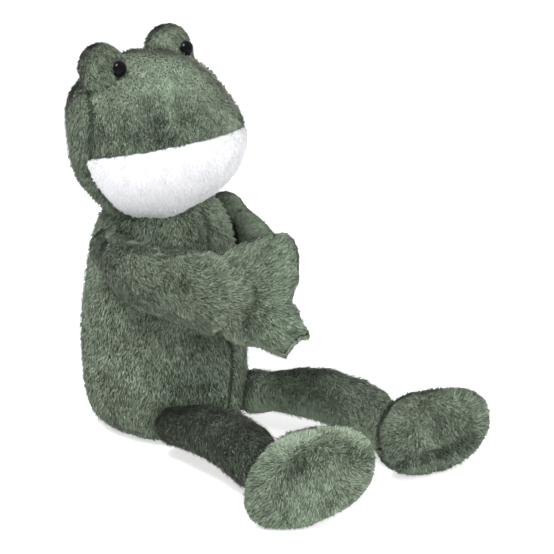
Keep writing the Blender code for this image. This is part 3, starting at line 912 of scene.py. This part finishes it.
def backing_material(name, values, strength=0.6, depth=0.0005, shine=0.2):
    made, tree, shader = new_material(name)
    node = placed(tree, backing, values)
    relief = {"Strength": strength, "Distance": depth, "Height": node.outputs["Height"]}
    feed(tree, shader, {
        "Base Color": node.outputs["Colour"], "Roughness": node.outputs["Roughness"],
        "Normal": added(tree, "ShaderNodeBump", relief).outputs["Normal"],
        "Specular IOR Level": shine,
    })
    return made


def bead_material():
    black, grey = (0.002, 0.002, 0.0025, 1), (0.005, 0.005, 0.006, 1)
    made, tree, shader = new_material("black bead")
    fine = grain(tree, 400)
    feed(tree, shader, {
        "Base Color": mixed(tree, fine, black, grey), "Specular IOR Level": 0.12,
        "Roughness": between(tree, fine, 0.3, 0.7, 0.03, 0.06),
    })
    return made


def washer_material():
    made, tree, shader = new_material("washer plastic")
    node = placed(tree, backing, {
        "Dark": (0.55, 0.55, 0.53, 1), "Pale": (0.70, 0.70, 0.68, 1), "Scale": 600.0,
    })
    feed(tree, shader, {
        "Base Color": node.outputs["Colour"],
        "Roughness": between(tree, node.outputs["Height"], 0.3, 0.7, 0.3, 0.45),
    })
    return made


# The dark roots of the green tufts are painted shade deep in the pile
green_pile = pile_material("green pile", {
    "Root": (0.030, 0.042, 0.029, 1), "Shade": (0.016, 0.020, 0.014, 1),
    "Light": (0.432, 0.560, 0.408, 1), "Warm": (0.445, 0.500, 0.375, 1),
}, sheen=0.22, tint=(0.78, 0.82, 0.70, 1))
# The backing between the green tufts is dark: painted shade deep in the pile
green_backing = backing_material("green backing", {
    "Dark": (0.040, 0.055, 0.038, 1), "Pale": (0.100, 0.130, 0.093, 1), "Scale": 900.0,
})
white_loops = pile_material("white loops", {
    "Root": (0.95, 0.95, 0.98, 1), "Shade": (0.93, 0.93, 0.97, 1),
    "Light": (0.99, 0.99, 1.00, 1), "Warm": (0.95, 0.95, 0.98, 1),
}, sheen=0.60, tint=(1, 1, 1, 1))
white_backing = backing_material("white backing", {
    "Dark": (0.90, 0.90, 0.94, 1), "Pale": (0.96, 0.96, 0.98, 1), "Scale": 700.0,
})
tape = backing_material("hook and loop tape", {
    "Dark": (0.10, 0.13, 0.10, 1), "Pale": (0.20, 0.24, 0.19, 1), "Scale": 1500.0,
}, strength=1, depth=0.0004, shine=0.5)
black_bead, washer_plastic = bead_material(), washer_material()


# Pieces of pile fabric

def everywhere(points):
    return np.ones(len(points))


def muzzle_depth(points):
    """How far a point is inside the muzzle panel, below its mouth line and ahead of its cheeks."""
    inside = turned_into(points, head_frame)
    mouth_line = -mouth_side_drop + mouth_slope * inside[:, 1] - mouth_tilt * inside[:, 0]
    return np.minimum(mouth_line - inside[:, 2], -cheek_forward - inside[:, 1])


def cut_at(mesh, planes):
    """New edges where planes, each a point and a direction, cross the fabric."""
    bm = bmesh.new()
    bm.from_mesh(mesh)
    for point, direction in planes:
        bmesh.ops.bisect_plane(
            bm, geom=bm.verts[:] + bm.edges[:] + bm.faces[:], plane_co=point, plane_no=direction,
            dist=same_spot,
        )
    return mesh_from(bm, "cut")


def side_of(mesh, part):
    """The faces of a fabric that lie on one side of a seam."""
    bm = bmesh.new()
    bm.from_mesh(mesh)
    middles = np.array([f.calc_center_median()[:] for f in bm.faces])
    gone = [f for f, inside in zip(bm.faces, part(middles) > 0) if not inside]
    bmesh.ops.delete(bm, geom=gone, context="FACES")
    return mesh_from(bm, "side")


def formed(name, nodes, square, squeezed=on_floor, seam=None, depth=seam_depth, table=None):
    """A piece's fabric, from its solids to the base of its pile."""
    mesh = outer_form(nodes, square)
    if table:
        reshaped(mesh, table)
    relaxed(mesh)
    mesh = stuffed(mesh)
    if square > fine_square:
        mesh = finer(mesh)
    if name.startswith("eye_dome"):
        spread_at_root(mesh, nodes[0])
    lay_lines(mesh, name)
    pressed_by_lines(mesh, name)
    if seam:
        points = places(mesh)
        share = bell(seam(points), seam_width)
        set_places(mesh, points - outward(mesh) * (depth * share)[:, None])
    swelled(mesh, name)
    set_back(mesh, name, squeezed)
    lay_lines(mesh, name)
    return mesh


# Tone of the pile, from dark at 0 to pale at 1

def green_tone(name, level):
    """A piece's tone, with brushed clouds and with its lines darker: dark seams, painted shade in
    creases and hollows, painted highlight on raised ridges.
    """
    brushed, large, small = 0.09, 0.014, 0.0050

    def tone(points):
        brushing = level(points) + brushed * clouds(points, large, 1.1)
        return brushing + brushed * clouds(points, small, 6.4) - painted_shade_and_seams(points, name)
    return tone


def even(level):
    return lambda points: np.full(len(points), level)


def finish_piece(made, body, nodes):
    if isinstance(body, str):
        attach(made, body)
    else:
        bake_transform(made)
    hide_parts(*nodes)


def green_piece(name, label, mesh, nap, body, nodes, part=everywhere, reach=0.001,
                squeezed=on_floor, level=even(0.55), fabric=None,
                per_side=4, width=pile_width, lit_up_and_under=0.0):
    made = tufts(mesh, parted(nap, label), per_side, pile_length, width, pile_lift, part, reach,
                 squeezed, green_tone(label, level), lit_up_and_under)
    made = piece_of(name, fabric or mesh, made, green_backing, green_pile)
    finish_piece(made, body, nodes)


def head_level(points):
    """Paler towards the crown and the frog's left: painted light on the crown, which faces up, and
    on the frog's left side of the face.
    """
    low_tone, crown_more, far_more = 0.42, 0.28, 0.38
    crown_band, far_band = (-0.006, 0.044), (-0.030, 0.020)
    inside = turned_into(points, head_frame)
    crown, far = ease(inside[:, 2], *crown_band), ease(inside[:, 0], *far_band)
    return low_tone + crown_more * crown + far_more * far


def torso_level(points):
    """Paler on the chest and past the belly's seam: painted light on the shaded chest and on the
    belly's far side.
    """
    belly_tone, chest_more, far_more = 0.55, 0.07, 0.06
    chest_band, far_band = (0.088, 0.115), (-0.006, 0.012)
    chest, far = ease(points[:, 2], *chest_band), ease(points[:, 0], *far_band)
    return belly_tone + chest_more * chest + far_more * far


def leg_level(top, low, start):
    """Tone by height: the undersides are paler, partly brushed so and partly painted light bounced
    up from the floor.
    """
    leg_rise = 0.024
    return lambda points: top + (low - top) * (1 - ease(points[:, 2], start, start + leg_rise))


def sole_level(side):
    """The near sole is paler, most of all at its top, where painted highlight lies on the raised
    rim above its crease.
    """
    far_tone, near_tone, top_more, top_band = 0.46, 0.60, 0.24, (0.040, 0.052)
    if side == "left":
        return even(far_tone)
    return lambda points: near_tone + top_more * ease(points[:, 2], *top_band)


def arm_level(base):
    """From the arm's tone to the hand's, palest on the edges of its web and finger tips, painted
    light as through the fluff, and paler on the hand's lower part, painted light where it is
    shaded.
    """
    hand_tone, edge_light, under_light = 0.51, 0.35, 0.08
    wrist_band, rim_band = (0.010, 0.024), (0.016, 0.024)
    thin_band, low_band = (0.0045, 0.0100), (0.010, 0.022)

    def level(points):
        inside = turned_into(points, palm_frame)
        hand = 1 - ease(inside[:, 1], *wrist_band)
        rim = ease(np.linalg.norm(inside[:, 1:], axis=1), *rim_band)
        edge = hand * rim * (1 - ease(np.abs(inside[:, 0]), *thin_band))
        low = hand * ease(-inside[:, 2], *low_band)
        return base + (hand_tone - base) * hand + edge_light * edge + under_light * low
    return level


dome_tones = {"right": 0.52, "left": 0.60}
# The frog's left arm, the far one, is darker: painted shade from the head
arm_tones = {"right": 0.44, "left": 0.22}
# Each leg's tone on top, underneath and the height where it starts to change; the paler undersides
# are partly painted light
leg_tones = {"right": (0.22, 0.32, 0.006), "left": (0.54, 1.10, 0.012)}
upper_tone = 0.60

# Where each arm's fabric bends to, and how the outlines differ from the solids'
arm_starts = {"right": (-0.054, -0.0262, 0.1202), "left": (0.0484, -0.0223, 0.1083)}
arm_tables = {
    "right": [
        (-0.0330, 0, 0), (-0.0250, -0.0050, -0.0030), (-0.0150, -0.0070, -0.0030),
        (0.0006, -0.0055, -0.0035), (0.0143, -0.0050, 0.0010), (0.0299, -0.0085, 0.0040),
        (0.0396, -0.0015, 0.0005), (0.0490, 0, 0),
    ],
    "left": None,
}
leg_tables = {
    "right": [
        (-0.0030, 0.0026, 0), (0.0096, 0.0016, 0), (0.0222, 0.0022, 0), (0.0330, 0.0012, 0),
        (0.0456, -0.0025, 0), (0.0560, 0, 0),
    ],
    "left": [
        (0.0500, 0.0022, 0.0055), (0.0640, 0.0019, 0.0020), (0.0745, 0.0019, 0),
        (0.0960, 0.0019, 0), (0.1090, 0.0005, 0), (0.1228, 0, 0.0020), (0.1296, 0, 0.0055),
        (0.1366, 0, 0.0075),
    ],
}
foot_tables = {
    "right": [(0.0640, 0, 0.0060), (0.0732, 0, 0.0050), (0.0814, 0, 0.0026), (0.0950, 0, 0)],
    "left": [(0.1300, 0, 0.0070), (0.1360, 0, 0.0065), (0.1420, 0, 0.0045), (0.1500, 0, 0.0018),
             (0.1580, 0, 0)],
}
head_table = [
    (-0.0540, 0.0040, 0), (-0.0480, 0.0060, 0), (-0.0400, 0.0052, 0), (-0.0300, 0.0008, 0),
    (-0.0200, 0, 0), (-0.0090, -0.0020, 0), (0.0060, -0.0030, 0), (0.0210, 0, 0),
]


def bend_at(joint, ahead):
    """Where a limb's fabric starts and stops bending: about its joint, along the limb."""
    before, after = 0.004, 0.024
    pivot = joint_places[joint]
    along = unit(np.array(ahead) - pivot)
    return tuple(pivot - along * before), tuple(pivot + along * after)


nodes = ["torso_cover", "torso_stuffing", "pellet_bag"]
torso = formed("torso", nodes, wide_square)
green_piece("torso_plush", "torso", torso, toward((0, 0, -1)), "torso", nodes,
            level=torso_level, per_side=3, width=torso_pile_width)

# The head's fabric is formed whole, then parted at the muzzle's seams
head = formed("head", ["head_cover", "muzzle_panel", "head_stuffing"], wide_square,
              seam=muzzle_depth, table=head_table)
mouth_upright = Vector((mouth_tilt, -mouth_slope, 1))
head_cut = cut_at(head, [
    (head_frame @ Vector((0, 0, -mouth_side_drop)), head_axes @ mouth_upright),
    (head_frame @ Vector((0, -cheek_forward, 0)), head_axes @ Vector((0, 1, 0))),
])


def off_muzzle(points):
    return -muzzle_depth(points)


def brushed_down(points):
    """Straight down the face as it is seen from the frog's right, and down and back behind."""
    brushed_across, back_nap = np.array((0.72, -0.69, 0)), np.array((0, 0.3, -1))
    back_band = (0.012, 0.034)
    inside = turned_into(points, head_frame)
    normals = unit(inside / head_half_sizes ** 2) @ np.array(head_axes).T
    behind = ease(inside[:, 1], *back_band)[:, None]
    return np.cross(brushed_across, normals) * (1 - behind) + back_nap * behind


def loop_tone(points):
    mean_tone, patch_tone, patch_size = 0.50, 0.2, 0.0016
    return mean_tone + patch_tone * clouds(points, patch_size, 2.2)


green_piece("head_plush", "head", head, brushed_down, "head", ["head_cover", "head_stuffing"],
            part=off_muzzle, level=head_level, fabric=side_of(head_cut, off_muzzle))
loops = tufts(head, brushed_down, 4, loop_length, loop_width, loop_lift, muzzle_depth,
              reach=0.0026, squeezed=on_floor, tone=loop_tone)
muzzle = side_of(head_cut, muzzle_depth)
muzzle = piece_of("muzzle_terry", muzzle, loops, white_backing, white_loops)
finish_piece(muzzle, "head", ["muzzle_panel"])

dome_nap = toward(head_axes @ Vector((0, -0.25, -1)))
for side in sides:
    nodes = [f"eye_dome_cover_{side}", f"eye_dome_stuffing_{side}"]
    dome = formed(f"eye_dome_{side}", nodes, fine_square, under_beads)
    green_piece(f"eye_dome_plush_{side}", f"eye_dome_{side}", dome, dome_nap, "head", nodes,
                level=even(dome_tones[side]))

    nodes = [f"arm_cover_{side}", f"arm_stuffing_{side}"]
    arm = formed(f"arm_{side}", nodes, hand_square, by_patch(side), table=arm_tables[side])
    meet_patch(arm, side)
    green_piece(f"arm_plush_{side}", f"arm_{side}", arm, arm_nap(side),
                ("torso", f"arm_{side}", *bend_at(f"shoulder_{side}", arm_starts[side])), nodes,
                part=off_patch(side), squeezed=by_patch(side),
                level=arm_level(arm_tones[side]), per_side=3, lit_up_and_under=0.12)

    nodes = [f"leg_cover_{side}", f"leg_stuffing_{side}"]
    leg = formed(f"leg_{side}", nodes, fine_square, table=leg_tables[side])
    bend = bend_at(f"hip_{side}", joint_places[f"ankle_{side}"])
    green_piece(f"leg_plush_{side}", f"leg_{side}", leg, leg_nap(side),
                ("torso", f"leg_{side}", *bend), nodes,
                level=leg_level(*leg_tones[side]))

    upper, sole, filling = (f"foot_{part}_{side}" for part in ("upper", "sole", "stuffing"))
    place = foot_frame(side)
    behind_seam = lambda points, place=place: turned_into(points, place)[:, 1]
    ahead_of_seam = lambda points, place=place: -turned_into(points, place)[:, 1]
    foot = formed(f"foot_{side}", [upper, sole, filling], fine_square, seam=behind_seam,
                  depth=foot_seam_depth, table=foot_tables[side])
    foot_cut = cut_at(foot, [(place.translation, place.to_3x3() @ Vector((0, 1, 0)))])
    for name, nodes, part, reach, level in (
        ("upper", [upper, filling], behind_seam, 0.0030, even(upper_tone)),
        ("sole", [sole], ahead_of_seam, 0.0025, sole_level(side)),
    ):
        green_piece(f"foot_{name}_plush_{side}", f"foot_{side}", foot, foot_nap(side),
                    f"foot_{side}", nodes, part=part, reach=reach, level=level,
                    fabric=side_of(foot_cut, part))


# Hard pieces keep their solids
for side in sides:
    for node, finish in (
        (f"eye_bead_{side}", black_bead), (f"palm_patch_{side}", tape),
        (f"eye_washer_{side}", washer_plastic),
    ):
        mesh = frame["nodes"][node].data
        mesh.materials.clear()
        mesh.materials.append(finish)


# Floor, light and camera

def floor_material():
    """Pale and without shine, and made up to white for the camera."""
    pale, glow_level = (0.88, 0.88, 0.88, 1), 0.60
    made, tree, shader = new_material("pale floor")
    feed(tree, shader, {"Base Color": pale, "Roughness": 1, "Specular IOR Level": 0})
    seen = added(tree, "ShaderNodeLightPath").outputs["Is Camera Ray"]
    strength = computed(tree, "MULTIPLY", seen, glow_level)
    glow = added(tree, "ShaderNodeEmission", {"Strength": strength})
    both = added(tree, "ShaderNodeAddShader", {0: shader.outputs[0], 1: glow.outputs[0]})
    feed(tree, tree.nodes["Material Output"], {"Surface": both.outputs[0]})
    return made


def floor_sheet():
    reach = 6.0
    corners = [(x * reach, y * reach, 0) for x, y in ((-1, -1), (1, -1), (1, 1), (-1, 1))]
    mesh = bpy.data.meshes.new("floor")
    mesh.from_pydata(corners, [], [(0, 1, 2, 3)])
    mesh.materials.append(floor_material())
    made = linked("floor", mesh)


def white_world(strength):
    """Lights the frog at its strength, and is white to the camera."""
    world = bpy.data.worlds.new("studio")
    bpy.context.scene.world = world
    world.use_nodes = True
    tree = world.node_tree
    path = added(tree, "ShaderNodeLightPath")
    seen = (path.outputs[f"Is {kind} Ray"] for kind in ("Camera", "Transmission"))
    level = between(tree, computed(tree, "MAXIMUM", *seen), 0.0, 1.0, strength, 1.0)
    feed(tree, tree.nodes["Background"], {"Color": (1, 1, 1, 1), "Strength": level})


# The camera looks at the target from this way, and the lamps are placed by its view
target = Vector((0.068, -0.027, 0.0795))
azimuth, elevation = math.radians(-45), math.radians(20)
camera_distance = 1.8
right = Vector((math.cos(azimuth), math.sin(azimuth), 0))
up = Vector((0, 0, 1))
back = Vector((math.sin(azimuth) * math.cos(elevation), -math.cos(azimuth) * math.cos(elevation),
               math.sin(elevation)))


def faced(made, direction, distance):
    """Puts a lamp or the camera at a distance from the target, facing it."""
    made.location = target + direction * distance
    made.rotation_mode = "QUATERNION"
    made.rotation_quaternion = direction.to_track_quat("Z", "Y")


def soft_lamp(name, direction, distance, size, level):
    """A square lamp that lights what faces it to a share of its own colour."""
    lamp = bpy.data.lights.new(name, "AREA")
    lamp.shape = "SQUARE"
    lamp.size = size
    lamp.energy = level * math.pi ** 2 * distance ** 2
    made = linked(name, lamp)
    faced(made, direction.normalized(), distance)
    return made


floor_sheet()
white_world(strength=0.62)
soft_lamp("key", -right * 0.45 + up * 0.9 + back * 0.45, distance=1.6, size=0.5, level=0.62)
fill = soft_lamp("fill", right * 0.6 + up * 0.05 + back * 0.8, distance=1.8, size=1.2, level=0.58)
fill.visible_glossy = False

lens = bpy.data.cameras.new("camera")
lens.sensor_width = 36
lens.lens = 194.95
lens.clip_start, lens.clip_end = 0.1, 50
camera = linked("camera", lens)
faced(camera, back, camera_distance)
bpy.context.scene.camera = camera
bpy.context.scene.view_settings.view_transform = "Standard"
